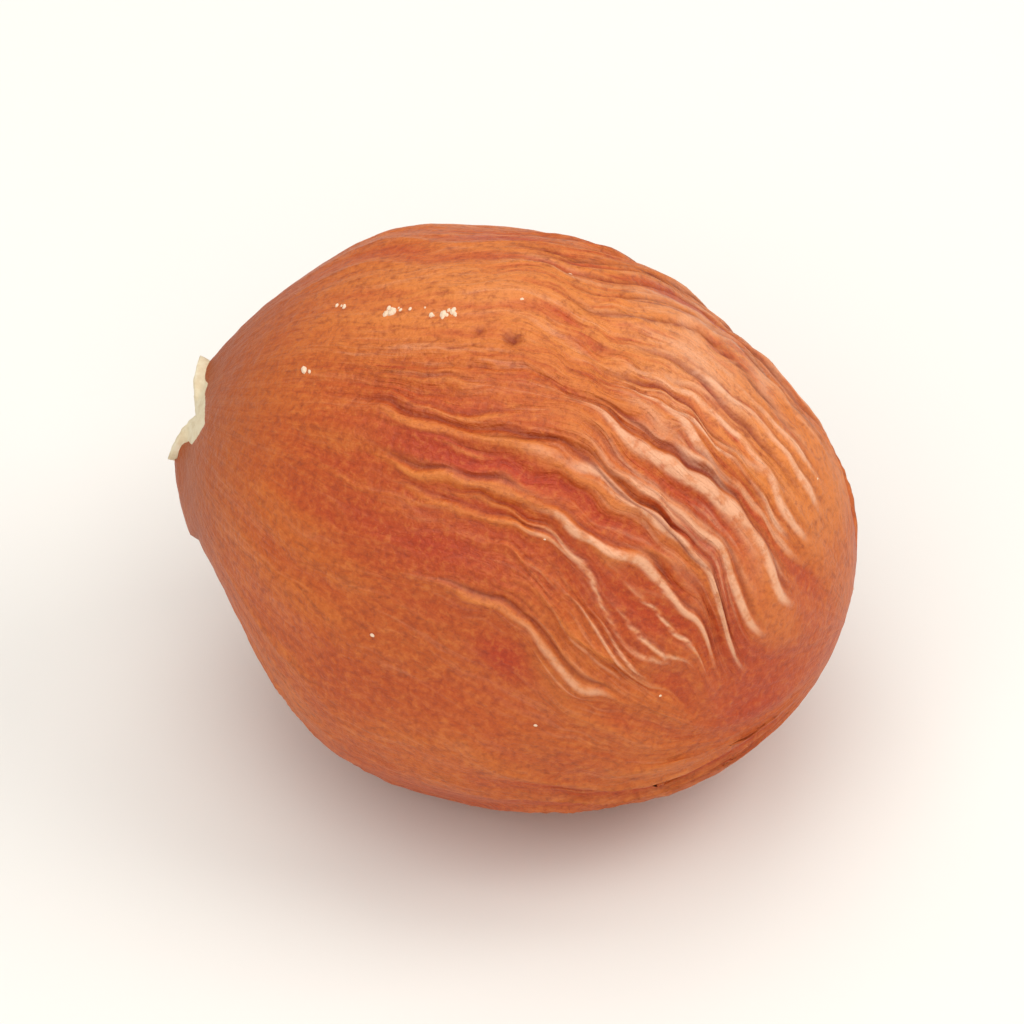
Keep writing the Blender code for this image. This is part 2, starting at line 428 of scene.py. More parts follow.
# Soft lights: azimuth and elevation in degrees, distance, width and height in metres, colour
LAMPS = {
    "key": (110, 46, 0.20, (0.12, 0.12), (1.0, 0.97, 0.93)),
    "top": (-160, 70, 0.20, (0.16, 0.12), (1.0, 0.98, 0.96)),
    "front": (0, 58, 0.25, (0.25, 0.25), (1.0, 0.98, 0.95)),
}
SKY_COLOUR = (1.0, 0.985, 0.965)
FLOOR_REACH = 1.5


def smooth_step(low, high, value):
    """0 at low, 1 at high and an S curve between."""
    share = np.clip((value - low) / (high - low), 0.0, 1.0)
    return share * share * (3 - 2 * share)


def bump(distance, reach):
    """A bell of height 1 that has fallen to about a third at its reach."""
    return np.exp(-((distance / reach) ** 2))


def angle_between(a, b):
    """Angle from b to a, between minus and plus half a turn."""
    return (a - b + math.pi) % (2 * math.pi) - math.pi


def noise_at(along, line, rounds, run, shift=(0, 0, 0)):
    """Smooth noise over the skin, which changes so much round the section and along the length."""
    places = np.broadcast_arrays(rounds * np.cos(line), rounds * np.sin(line), run * along)
    points = np.stack(places, axis=-1) + shift
    return np.array([noise.noise(point) for point in points.tolist()])


def noise_along(along, side, run, shift):
    """Smooth noise for each crest or crease, which changes so much along the length."""
    return np.array([noise.noise((place, run * along.mean(), shift)) for place in side])


class Form:
    """The kernel's axis and the distance from it to the solid's surface."""

    def __init__(self):
        bm = bmesh.new()
        bm.from_mesh(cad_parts[NODE].data)
        bmesh.ops.remove_doubles(bm, verts=bm.verts, dist=1e-6)
        poles = sorted(bm.verts, key=lambda v: len(v.link_faces))[-2:]
        self.tip, self.blunt = sorted((v.co.copy() for v in poles), key=lambda co: co.x)
        self.tree = BVHTree.FromBMesh(bm)
        bm.free()
        self.length = (self.blunt - self.tip).length
        self.axis = (self.blunt - self.tip).normalized()
        self.side = Vector((0, 1, 0))
        self.top = self.axis.cross(self.side)

    def outward(self, turn):
        return self.top * math.cos(turn) + self.side * math.sin(turn)

    def point(self, x, radius, turn):
        return self.tip + self.axis * x + self.outward(turn) * radius

    def along(self, x):
        """Share of the body's length, 0 where the stub ends."""
        return (x - STUB_LENGTH) / (self.length - STUB_LENGTH)

    def radius(self, x, turn):
        hit = self.tree.ray_cast(self.tip + self.axis * x, self.outward(turn))
        return hit[3] if hit[3] is not None else 0.0


# Folds. Places come as arrays: shares of the length, with angles of fold lines or turns round the axis


def belly_radius(along):
    """Radius as a share of the thickest one."""
    along = np.clip(along, 0.0, 1.0)
    tip_half = along < BELLY_PLACE
    before = (BELLY_PLACE - along) / BELLY_PLACE
    behind = (along - BELLY_PLACE) / (1 - BELLY_PLACE)
    reach = np.where(tip_half, before, behind)
    power = np.where(tip_half, TIP_HALF_POWER, BLUNT_HALF_POWER)
    return np.maximum(1 - reach**power, 0.0) ** (1 / power)


def arc(along, angle):
    """Length of an arc round the kernel."""
    return angle * belly_radius(along) * BELLY_RADIUS


def fold_turn(along, line):
    """Turn of a fold line round the axis, as in the solid."""
    shift = FOLD_POLE_SHIFT * smooth_step(FOLD_BEND_START, FOLD_BEND_END, along)
    aside = shift * np.cos(line - FOLD_POLE_TURN)
    reach = np.sqrt(aside**2 + 1 - shift**2) - aside
    across = shift * math.sin(FOLD_POLE_TURN) + reach * np.sin(line)
    upward = shift * math.cos(FOLD_POLE_TURN) + reach * np.cos(line)
    return np.arctan2(across, upward) + WAVER * noise_at(along, line, WAVERS_ROUND, WAVERS_ALONG)


def fold_pattern(along, line):
    """Height of the solid's fine folds, from 0 to 1."""
    side = line + FOLD_WANDER * noise_at(along, line, WANDERS_ROUND, WANDERS_ALONG)
    dent = abs(noise_at(along, side, FOLD_CROWDING, FOLD_RUN))
    crest = np.maximum(1 - FOLD_SHARPNESS * dent, 0.0) ** FOLD_CREST_POWER
    patch = noise_at(along, line, STRENGTH_ROUND, STRENGTH_ALONG, STRENGTH_SHIFT)
    strong = smooth_step(*STRENGTH_RANGE, patch)
    return crest * (FAINT_FOLD_SHARE + (1 - FAINT_FOLD_SHARE) * strong)


def run_share(along, start, end, grow, fade):
    """How much of a crest or crease there is: it grows after its start and fades before its end."""
    return smooth_step(start, start + grow, along) * smooth_step(end, end - fade, along)


def solid_crests(along, line):
    """Height of the bold crests as the solid has them."""
    side, start, end, height = np.array(SOLID_CRESTS).T
    along = along[:, None]
    apart = arc(along, angle_between(line[:, None], np.radians(side)))
    run = run_share(along, start, end, CREST_FADE, CREST_FADE)
    return (height * MM * bump(apart, SOLID_CREST_HALF_WIDTH) * run).sum(axis=1)


def folded_share(along, turn, wane):
    """How far the folds stand out: 1 in full, 0 where the skin lies smooth. They wane at a place."""
    share = smooth_step(FOLDS_START, FOLDS_IN_FULL, along) * smooth_step(1.0, wane, along)
    for place, side, reach, spread, gone in SMOOTH_PATCHES:
        apart = angle_between(turn, math.radians(side))
        share *= 1 - gone * bump(along - place, reach) * bump(apart, math.radians(spread))
    return share


def stray(along, line):
    """How far the fine folds have strayed from the solid's fold line."""
    side, early, late, sooner = np.array(STRAYS).T
    line = np.degrees(angle_between(line, 0))
    early_share = smooth_step(*EARLY_STRAY, along + np.interp(line, side, sooner))
    late_share = smooth_step(*LATE_STRAY, along)
    strayed = np.interp(line, side, early) * early_share + np.interp(line, side, late) * late_share
    return np.radians(strayed)


def all_crests():
    """The fine crests, and small ones all round the kernel that are drawn from a fixed seed."""
    draw = random.Random(SMALL_CREST_SEED)
    crests = list(FINE_CRESTS)
    for index in range(SMALL_CRESTS):
        side = 360 * (index + draw.uniform(-SMALL_CREST_JITTER, SMALL_CREST_JITTER)) / SMALL_CRESTS
        start = draw.uniform(*SMALL_CREST_START)
        end = start + draw.uniform(*SMALL_CREST_RUN)
        height = draw.uniform(*SMALL_CREST_HEIGHT)
        width = draw.uniform(*SMALL_CREST_HALF_WIDTH)
        crests.append((side, start, end, height, width, SMALL_CREST_PALENESS))
    return np.array(crests)


def distance_across(along, line, side):
    """Distance in mm from crests or creases, which stray with the fine folds and sway on their own."""
    side = np.radians(side + CREST_SWAY * noise_along(along, side, SWAYS_ALONG, SWAY_SHIFT))
    return arc(along, angle_between(line, side + stray(along, side))) / MM


def crest_relief(along, line, crests):
    """Height of the crests with their grooves, and how strong ridges, paleness and the shade painted in
    the grooves are.
    """
    side, start, end, height, width, pale = crests.T
    changes = CREST_HEIGHT_CHANGE * noise_along(along, side, CREST_CHANGES, CHANGE_SHIFT)
    along = along[:, None]
    apart = distance_across(along, line[:, None], side)
    run = run_share(along, start, end, *CREST_FADES) * (CREST_MEAN_HEIGHT + changes)
    foot = CREST_FOOT * bump(apart, CREST_FOOT_WIDTH * width)
    back = (1 - CREST_FOOT) * bump(apart, width * np.where(apart > 0, CREST_BACK, CREST_FRONT))
    groove = bump(apart - GROOVE_SHIFT * width, GROOVE_WIDTH * width)
    relief = (height * (foot + back - GROOVE_SHARE * groove) * run).sum(axis=1)
    ridges = np.minimum(1.0, height / RIDGE_FULL) * bump(apart, PALE_WIDTH * width) * run
    whitened = pale * bump(apart + PALE_SHIFT * width, PALE_WIDTH * width) * run
    whitened = whitened * smooth_step(*PALE_FROM, along)
    groove_shade = np.minimum(1.0, height / GROOVE_FULL) * groove * run
    return relief * MM, ridges.max(axis=1), whitened.max(axis=1), groove_shade.max(axis=1)


def crease_relief(along, line):
    """Depth of the creases, and how strong the shade painted into them is."""
    side, start, end, depth, width = np.array(CREASES).T
    along = along[:, None]
    apart = distance_across(along, line[:, None], side)
    crease = bump(apart, width) * run_share(along, start, end, CREASE_FADE, CREASE_FADE)
    return (depth * crease).sum(axis=1) * MM, crease.max(axis=1)


def patches_at(patches, along, line):
    """How strong a kind of patch is. Where patches overlap, they add up."""
    place, side, reach, spread, strength = np.array(patches).T
    apart = angle_between(line[:, None], np.radians(side))
    shares = strength * bump(along[:, None] - place, reach) * bump(apart, np.radians(spread))
    return shares.sum(axis=1)


def pit_relief(form, along, line):
    """Depth of the small holes, and how strong the shade painted into them is."""
    place, side, radius, depth = np.array(PITS).T
    along = along[:, None]
    across = arc(along, angle_between(line[:, None], np.radians(side))) / MM
    holes = bump(np.hypot(across, (along - place) * form.length / MM), radius)
    return (depth * holes).sum(axis=1) * MM, holes.max(axis=1)


def flap_relief(x, line):
    """Height of the flap of torn skin, which ends abruptly, and how strong the shadow painted into the
    crack at its end is.
    """
    across = bump(angle_between(line, FLAP_TURN), FLAP_SPREAD)
    raised = across * smooth_step(0, FLAP_START, x) * smooth_step(FLAP_END + FLAP_DROP, FLAP_END, x)
    crack = np.sqrt(across) * bump(x - FLAP_END - FLAP_DROP, FLAP_CRACK_SHADOW)
    return FLAP_HEIGHT * raised, crack


def tip_edge(line, share=1.0):
    """Place along the axis of the flesh's broken end, at its edge or at a share of the way out to it.

    The end is notched between the oval's two ends, and rounded towards its edge.
    """
    return FLESH_NOTCH * (1 - abs(np.cos(line - STUB_TURN)) * share) + FLESH_ROUNDING * share**5


def rim_places(lines):
    """Place along the axis of the skin's torn edge."""
    ragged = noise_at(0.0, lines, RIM_TEETH, 0.0)
    return tip_edge(lines) + SKIN_BEHIND + RIM_RAGGEDNESS * ragged


def blurred(table, rows_sigma, columns_sigma):
    """The table smoothed along its rows and round its columns."""
    def kernel(sigma):
        reach = int(3 * sigma)
        weights = np.exp(-0.5 * (np.arange(-reach, reach + 1) / sigma) ** 2)
        return weights / weights.sum()

    down, across = kernel(rows_sigma), kernel(columns_sigma)
    reach = len(down) // 2
    padded = np.pad(table, ((reach, reach), (0, 0)), mode="edge")
    table = np.apply_along_axis(lambda column: np.convolve(column, down, "valid"), 0, padded)
    reach = len(across) // 2
    padded = np.pad(table, ((0, 0), (reach, reach)), mode="wrap")
    return np.apply_along_axis(lambda row: np.convolve(row, across, "valid"), 1, padded)


def cosine_places(count, length):
    """Places along a length that crowd towards its ends."""
    return length * (1 - np.cos(np.linspace(0, math.pi, count + 1))) / 2


def sampled(table, rows, columns):
    """Values between the entries of a table, whose columns go round."""
    row = np.minimum(rows.astype(int), len(table) - 2)
    down, across = rows - row, columns % 1.0
    column = columns.astype(int) % table.shape[1]
    after = (column + 1) % table.shape[1]
    near = table[row, column] * (1 - across) + table[row, after] * across
    far = table[row + 1, column] * (1 - across) + table[row + 1, after] * across
    return near * (1 - down) + far * down


def unfolded_form(form):
    """Radius of the solid without its folds, for each place along the axis and each fold line."""
    lines = 2 * math.pi * np.arange(SAMPLED_LINES) / SAMPLED_LINES
    places = cosine_places(ROWS, form.length)[1:-1]
    rows = []
    for x in places:
        along = np.full(len(lines), form.along(x))
        turns = fold_turn(along, lines)
        folds = FOLD_HEIGHT * (fold_pattern(along, lines) - 0.5) + solid_crests(along, lines)
        radii = np.array([form.radius(x, turn) for turn in turns.tolist()])
        rows.append(radii - folds * folded_share(along, turns, FOLDS_WANE))
    table = np.array(rows)
    means = table.mean(axis=1, keepdims=True)
    return places, means * blurred(table / means, *FORM_BLUR)


def grid_mesh(name, rows, first_pole, last_pole):
    """A closed mesh of rings of points with a pole at each end."""
    columns = len(rows[0])
    points = [first_pole] + [p for row in rows for p in row] + [last_pole]
    faces = []
    last = 1 + (len(rows) - 1) * columns
    for step in range(columns):
        after = (step + 1) % columns
        faces.append((0, 1 + after, 1 + step))
        faces.append((len(points) - 1, last + step, last + after))
    for row in range(len(rows) - 1):
        near, far = 1 + row * columns, 1 + (row + 1) * columns
        for step in range(columns):
            after = (step + 1) % columns
            faces.append((near + step, near + after, far + after, far + step))
    mesh = bpy.data.meshes.new(name)
    mesh.from_pydata(points, [], faces)
    bm = bmesh.new()
    bm.from_mesh(mesh)
    bmesh.ops.recalc_face_normals(bm, faces=bm.faces)
    bm.to_mesh(mesh)
    bm.free()
    mesh.shade_smooth()
    return mesh


def store(mesh, name, kind, values):
    """Keeps a value for each point of a mesh as a named attribute."""
    attribute = mesh.attributes.new(name, kind, "POINT")
    field = "vector" if kind == "FLOAT_VECTOR" else "value"
    attribute.data.foreach_set(field, np.asarray(values, np.float32).ravel())


def skin_ring(form, x, fine, crests):
    """A ring of the skin, whose columns lie on the fine folds' lines.

    Gives the solid's fold lines that the columns have strayed to, the columns' turns, the masks, and
    the places that the skin's patterns follow.
    """
    along = form.along(x)
    lines = fine + stray(along, fine)
    turns = fold_turn(along, lines)
    calm = smooth_step(*CALM_RUN, along) * bump(angle_between(fine, CALM_LINE), CALM_REACH)
    shown = folded_share(along, turns, FINE_FOLDS_WANE) * (1 - calm)
    lined = np.minimum(PLAIN_LINES + patches_at(LINED_PATCHES, along, fine), 1.0) * (1 - calm)
    lined *= smooth_step(*LINES_WANE, along)
    steps = LONG_STEP * noise_at(along, fine, *LONG_STEPS, STEP_SHIFT)
    steps += SHORT_STEP * noise_at(along, fine, *SHORT_STEPS, STEP_SHIFT)
    crest_height, ridge, pale, groove = crest_relief(along, lines, crests)
    crease_depth, crease = crease_relief(along, lines)
    pattern = fold_pattern(along, fine)
    hairs = noise_at(along, fine, LINE_CROWDING, LINE_RUN, LINE_SHIFT)
    hairs = np.maximum(1 - LINE_SHARPNESS * abs(hairs), 0.0)
    pit_depth, pit = pit_relief(form, along, lines)
    flap_height, crack = flap_relief(x, lines)
    hairs *= shown * lined
    folds = (crest_height - crease_depth + FOLD_HEIGHT * (pattern - 0.5)) * shown
    raised = pattern + LINE_RIDGE * hairs + VALLEY_CLEARANCE * ridge
    masks = {
        "fold": folds + LINE_HEIGHT * (hairs - 0.5 * shown * lined) - pit_depth + flap_height,
        "crest": np.maximum(pale * shown, LINE_PALENESS * hairs * smooth_step(*PALE_FROM, along)),
        # Painted shade: darkening in the crests' grooves, the creases, the pits and the crack at the
        # flap's end
        "groove": np.maximum.reduce((groove * shown, crease * shown, pit, crack)),
        "ridge": np.maximum.reduce((ridge * shown, PATTERN_RIDGE * pattern * shown, LINE_RIDGE * hairs)),
        "valley": shown * smooth_step(*VALLEY_RANGE, raised),
        "red": np.minimum(patches_at(RED_PATCHES, along, fine), 1.0),
        # Paler skin, and painted sheen on the upper side past the belly
        "pale": patches_at(PALE_AND_SHEEN_PATCHES, along, fine),
        "root": smooth_step(*ROOT_SHADE, along),
        "dust": patches_at(DUST_PATCHES, along, fine) + THIN_DUST,
        "lined": lined,
    }
    return lines, turns + steps * shown, masks, (np.cos(fine), np.sin(fine), along)


def skin_base_mesh(form):
    """The skin without its relief. The folds' height and the masks are its attributes."""
    even = 2 * math.pi * np.arange(COLUMNS) / COLUMNS
    fine = even - CROWDING * np.sin(even - CROWDED_LINE)
    places, radii = unfolded_form(form)
    rims = rim_places(fine)
    crests = all_crests()

    def radii_at(x, lines):
        rows = np.interp(x, places, np.arange(len(places)))
        return sampled(radii, rows, lines % (2 * math.pi) / (2 * math.pi) * SAMPLED_LINES)

    def ring(x, ring_radii, turns):
        return [form.point(*place) for place in np.stack((x, ring_radii, turns), axis=-1).tolist()]

    rows, masks, spots = [], [], []
    for share in cosine_places(ROWS, 1.0)[:-1]:
        x = rims + (form.length - rims) * share
        lines, turns, ring_masks, ring_spots = skin_ring(form, x, fine, crests)
        rows.append(ring(x, radii_at(x, lines), turns))
        masks.append(ring_masks)
        spots.append(np.array(ring_spots))
    turns = fold_turn(form.along(rims), fine)
    lip = []
    for step in range(LIP_RINGS, 0, -1):
        depth = (step / LIP_RINGS) ** 2
        thickness = SKIN_THICKNESS * (1 + LIP_THICKENING * depth)
        ring_radii = np.maximum(radii_at(rims, fine) - thickness, LIP_LEAST_RADIUS)
        lip.append(ring(rims + LIP_LENGTH * depth, ring_radii, turns))
    mesh = grid_mesh("skin", lip + rows, form.point(LIP_POLE, 0.0, 0.0), form.blunt.copy())
    unseen = 1 + LIP_RINGS * COLUMNS
    for name in masks[0]:
        seen = np.concatenate([ring_masks[name] for ring_masks in masks])
        store(mesh, name, "FLOAT", np.pad(seen, (unseen, 1)))
    spots = np.hstack([np.zeros((3, unseen)), *spots, np.array([[0.0], [0.0], [1.0]])])
    store(mesh, "place", "FLOAT_VECTOR", spots.T)
    return mesh


# Node helpers


def fill(tree, node, inputs):
    """Sets a node's inputs. Each one is a value, or a socket to link from."""
    for key, value in inputs.items():
        if isinstance(value, bpy.types.NodeSocket):
            tree.links.new(value, node.inputs[key])
        else:
            node.inputs[key].default_value = value
    return node


def add_node(tree, kind, inputs=None, **settings):
    node = tree.nodes.new(kind)
    for name, value in settings.items():
        setattr(node, name, value)
    return fill(tree, node, inputs or {})


def maths(tree, operation, *values):
    return add_node(tree, "ShaderNodeMath", dict(enumerate(values)), operation=operation).outputs[0]


def times(tree, first, second):
    return maths(tree, "MULTIPLY", first, second)


def ramp(tree, value, low, high, to_low=0.0, to_high=1.0):
    """Maps a value from one range to another, with a soft start and end."""
    inputs = {"Value": value, "From Min": low, "From Max": high, "To Min": to_low, "To Max": to_high}
    node = add_node(tree, "ShaderNodeMapRange", inputs, interpolation_type="SMOOTHSTEP")
    return node.outputs["Result"]


def mix_colour(tree, share, first, second):
    """Blends two colours. Inputs 0, 6 and 7 are the share and the colours of a mix of colours."""
    node = add_node(tree, "ShaderNodeMix", data_type="RGBA")
    return fill(tree, node, {0: share, 6: first, 7: second}).outputs[2]


def painted(tree, colour, *coats):
    """A colour under coats of others, each given as its share and its colour."""
    for share, coat in coats:
        colour = mix_colour(tree, share, colour, coat)
    return colour


def scaled(tree, vector, scale):
    return add_node(tree, "ShaderNodeVectorMath", {0: vector, 1: scale}, operation="MULTIPLY").outputs[0]


def noise_value(tree, vector, scale, detail=2.0, roughness=0.5, distortion=0.0):
    inputs = {
        "Vector": vector,
        "Scale": scale,
        "Detail": detail,
        "Roughness": roughness,
        "Distortion": distortion,
    }
    return add_node(tree, "ShaderNodeTexNoise", inputs).outputs[0]


def new_group(name, kind, inputs, outputs):
    """A node group with named sockets. Gives the group and its input and output nodes."""
    group = bpy.data.node_groups.new(name, kind)
    for title, sort, default in inputs:
        socket = group.interface.new_socket(title, in_out="INPUT", socket_type="NodeSocket" + sort)
        if default is not None:
            socket.default_value = default
    for title, sort in outputs:
        group.interface.new_socket(title, in_out="OUTPUT", socket_type="NodeSocket" + sort)
    return group, group.nodes.new("NodeGroupInput"), group.nodes.new("NodeGroupOutput")


def named_attribute(tree, name, kind="FLOAT"):
    node = add_node(tree, "GeometryNodeInputNamedAttribute", {"Name": name}, data_type=kind)
    return node.outputs["Attribute"]


def finish_tree(tree, geometry, material, result):
    """Ends a tree with real geometry in its material."""
    real = add_node(tree, "GeometryNodeRealizeInstances", {"Geometry": geometry})
    inputs = {"Geometry": real.outputs[0], "Material": material}
    dressed = add_node(tree, "GeometryNodeSetMaterial", inputs)
    tree.links.new(dressed.outputs[0], result.inputs[0])
    return tree


def set_input(modifier, title, value):
    """Sets a modifier's input by its socket's identifier."""
    for item in modifier.node_group.interface.items_tree:
        if item.item_type == "SOCKET" and item.in_out == "INPUT" and item.name == title:
            modifier[item.identifier] = value
            return
    raise ValueError(f"the tree has no input named {title}")


def made_by_nodes(name, mesh, tree, values):
    """Runs a node tree on a mesh and gives the result as a plain mesh object."""
    source = bpy.data.objects.new(name + "_source", mesh)
    bpy.context.scene.collection.objects.link(source)
    modifier = source.modifiers.new(tree.name, "NODES")
    modifier.node_group = tree
    for title, value in values.items():
        set_input(modifier, title, value)
    graph = bpy.context.evaluated_depsgraph_get()
    result = bpy.data.meshes.new_from_object(source.evaluated_get(graph), depsgraph=graph)
    result.name = name
    source.modifiers.clear()
    bpy.data.objects.remove(source)
    piece = bpy.data.objects.new(name, result)
    bpy.context.scene.collection.objects.link(piece)
    return piece


# Effects that several materials share


def mottle_group():
    """Small darker and lighter flecks over a colour, and their height."""
    name = "Mottle"
    if name in bpy.data.node_groups:
        return bpy.data.node_groups[name]
    group, given, result = new_group(
        name,
        "ShaderNodeTree",
        (
            ("Colour", "Color", (0.5, 0.5, 0.5, 1.0)),
            ("Dark", "Color", (0.2, 0.1, 0.05, 1.0)),
            ("Light", "Color", (0.8, 0.7, 0.6, 1.0)),
            ("Size", "Float", 0.3 * MM),
            ("Strength", "Float", 0.4),
            ("Vector", "Vector", None),
        ),
        (("Colour", "Color"), ("Height", "Float")),
    )
    scale = maths(group, "DIVIDE", 1.0, given.outputs["Size"])
    flecks = noise_value(group, given.outputs["Vector"], scale, 3.0, 0.62, 0.2)
    dark = times(group, ramp(group, flecks, 0.55, 0.25), given.outputs["Strength"])
    light = times(group, ramp(group, flecks, 0.48, 0.75), given.outputs["Strength"])
    colour = mix_colour(group, dark, given.outputs["Colour"], given.outputs["Dark"])
    colour = mix_colour(group, light, colour, given.outputs["Light"])
    group.links.new(colour, result.inputs["Colour"])
    group.links.new(flecks, result.inputs["Height"])
    return group


def mottle(tree, colour, dark, light, size, strength, vector):
    """The colour with flecks over it, and the flecks' height."""
    node = add_node(tree, "ShaderNodeGroup", node_tree=mottle_group())
    inputs = {
        "Colour": colour,
        "Dark": dark,
        "Light": light,
        "Size": size,
        "Strength": strength,
        "Vector": vector,
    }
    fill(tree, node, inputs)
    return node.outputs["Colour"], node.outputs["Height"]


def new_material(name):
    """A material with its shader alone. Gives the material, its tree and its shader."""
    material = bpy.data.materials.new(name)
    material.use_nodes = True
    return material, material.node_tree, material.node_tree.nodes["Principled BSDF"]


def opaque(colour):
    return (*colour, 1.0)


def object_place(tree):
    return add_node(tree, "ShaderNodeTexCoord").outputs["Object"]


def add_bump(tree, shader, height, distance, strength):
    inputs = {"Height": height, "Distance": distance, "Strength": strength}
    bumped = add_node(tree, "ShaderNodeBump", inputs)
    tree.links.new(bumped.outputs[0], shader.inputs["Normal"])


# Skin


def wrinkled_skin_tree():
    """Lifts the skin by its folds, fine wrinkles, grain and dimples, and keeps it off the floor."""
    tree, given, result = new_group(
        "Wrinkled skin",
        "GeometryNodeTree",
        (
            ("Geometry", "Geometry", None),
            ("Fold Share", "Float", 1.0),
            ("Wrinkle Depth", "Float", 0.05 * MM),
            ("Grain Depth", "Float", 0.025 * MM),
            ("Dimple Depth", "Float", 0.06 * MM),
            ("Material", "Material", None),
        ),
        (("Geometry", "Geometry"),),
    )
    place = named_attribute(tree, "place", "FLOAT_VECTOR")
    position = add_node(tree, "GeometryNodeInputPosition").outputs[0]
    normal = add_node(tree, "GeometryNodeInputNormal").outputs[0]
    height = times(tree, named_attribute(tree, "fold"), given.outputs["Fold Share"])
    wrinkles = noise_value(tree, scaled(tree, place, WRINKLES), 1.0, 3.0, 0.6, 0.4)
    wrinkles = maths(tree, "SUBTRACT", wrinkles, 0.5)
    wrinkles = times(tree, wrinkles, named_attribute(tree, "lined"))
    height = maths(tree, "ADD", height, times(tree, wrinkles, given.outputs["Wrinkle Depth"]))
    grain = maths(tree, "SUBTRACT", noise_value(tree, position, RELIEF_GRAIN, 3.0, 0.6, 0.3), 0.5)
    grain = times(tree, grain, maths(tree, "ADD", 1.0, named_attribute(tree, "crest")))
    height = maths(tree, "ADD", height, times(tree, grain, given.outputs["Grain Depth"]))
    cells = add_node(tree, "ShaderNodeTexVoronoi", {"Vector": position, "Scale": DIMPLES}).outputs[0]
    dimples = times(tree, ramp(tree, cells, 0.45, 0.05), named_attribute(tree, "red"))
    height = maths(tree, "SUBTRACT", height, times(tree, dimples, given.outputs["Dimple Depth"]))
    offset = add_node(tree, "ShaderNodeVectorMath", {0: normal, "Scale": height}, operation="SCALE")
    raised = add_node(tree, "GeometryNodeSetPosition",
                      {"Geometry": given.outputs["Geometry"], "Offset": offset.outputs[0]})
    apart = add_node(tree, "ShaderNodeSeparateXYZ", {0: position})
    above = maths(tree, "MAXIMUM", apart.outputs["Z"], 0.0)
    level = add_node(tree, "ShaderNodeCombineXYZ",
                     {"X": apart.outputs["X"], "Y": apart.outputs["Y"], "Z": above})
    rested = add_node(tree, "GeometryNodeSetPosition",
                      {"Geometry": raised.outputs[0], "Position": level.outputs[0]})
    return finish_tree(tree, rested.outputs[0], given.outputs["Material"], result)


def skin_material(skin):
    """Mottled skin: redder in the valleys, worn on the ridges, pale on the crests, brown by the root.
    Painted sheen lightens some pale patches, and painted shade darkens the grooves, creases, pits and the
    flap's crack.
    """
    material, tree, shader = new_material("kernel_skin_fine")

    def mask(name, share=1.0):
        value = add_node(tree, "ShaderNodeAttribute", attribute_name=name).outputs["Fac"]
        return value if share == 1.0 else times(tree, value, share)

    place = add_node(tree, "ShaderNodeAttribute", attribute_name="place").outputs["Vector"]
    spot = object_place(tree)
    red = opaque(skin.valley_colour)
    tan = opaque(skin.worn_and_sheen_colour)
    pale = opaque(skin.crest_and_sheen_colour)
    brown = opaque(skin.brown_colour)
    # dark is painted shade in the grooves and creases, and also the grain's dark flecks
    dark = opaque(skin.crease_shade_and_fleck_colour)

    lined = mask("lined")
    blotches = noise_value(tree, spot, BLOTCHES, 3.0, 0.6, 0.3)
    streaks = noise_value(tree, scaled(tree, place, STREAKS), 1.0, 4.0, 0.62, 0.5)
    hairlines = noise_value(tree, scaled(tree, place, HAIRLINES), 1.0, 2.0, 0.55, 0.3)
    grain = noise_value(tree, scaled(tree, place, COLOUR_GRAIN), 1.0, 3.0, 0.65, 0.6)
    colour = painted(
        tree,
        opaque(skin.main_colour),
        (ramp(tree, blotches, 0.38, 0.64, 0.0, 0.8), opaque(skin.warm_colour)),
        # The pale mask's coats are paler skin, and painted sheen on the upper side past the belly
        (ramp(tree, mask("pale"), 0.0, 1.0), tan),
        (ramp(tree, mask("pale"), 0.8, 1.8, 0.0, 0.7), pale),
        (times(tree, ramp(tree, streaks, 0.50, 0.28, 0.0, 0.85), lined), red),
        (times(tree, ramp(tree, streaks, 0.52, 0.72, 0.0, 0.60), lined), pale),
        (times(tree, ramp(tree, hairlines, 0.45, 0.25, 0.0, 0.60), lined), red),
        (ramp(tree, grain, 0.50, 0.28, 0.0, 0.60), brown),
        (ramp(tree, grain, 0.52, 0.72, 0.0, 0.45), tan),
        (maths(tree, "MAXIMUM", mask("valley", 0.75), mask("red", 0.95)), red),
        (ramp(tree, mask("ridge"), 0.25, 0.90, 0.0, 0.7), tan),
    )
    colour, flecks = mottle(tree, colour, dark, tan, 0.17 * MM, 0.38, spot)

    breaks = ramp(tree, noise_value(tree, spot, CREST_BREAKS, 3.0, 0.65), 0.32, 0.55, 0.35, 0.95)
    crests = times(tree, ramp(tree, mask("crest"), 0.15, 0.70), breaks)
    # The groove mask's dark coat is painted shade, in grooves, creases, pits and the flap's crack
    coats = ((crests, pale), (mask("groove", 0.7), dark), (mask("root", 0.75), brown))
    colour = painted(tree, colour, *coats)
    tree.links.new(colour, shader.inputs["Base Color"])

    rough = ramp(tree, streaks, 0.3, 0.7, 0.54, 0.44)
    rough = maths(tree, "SUBTRACT", rough, times(tree, crests, 0.06))
    tree.links.new(rough, shader.inputs["Roughness"])
    shader.inputs["Specular IOR Level"].default_value = 0.38
    fine = noise_value(tree, spot, FINEST_GRAIN, 3.0, 0.6)
    relief = maths(tree, "ADD", flecks, times(tree, fine, 0.4))
    relief = maths(tree, "ADD", relief, times(tree, times(tree, hairlines, lined), 1.4))
    add_bump(tree, shader, relief, skin.bump_depth, 0.8)
    return material


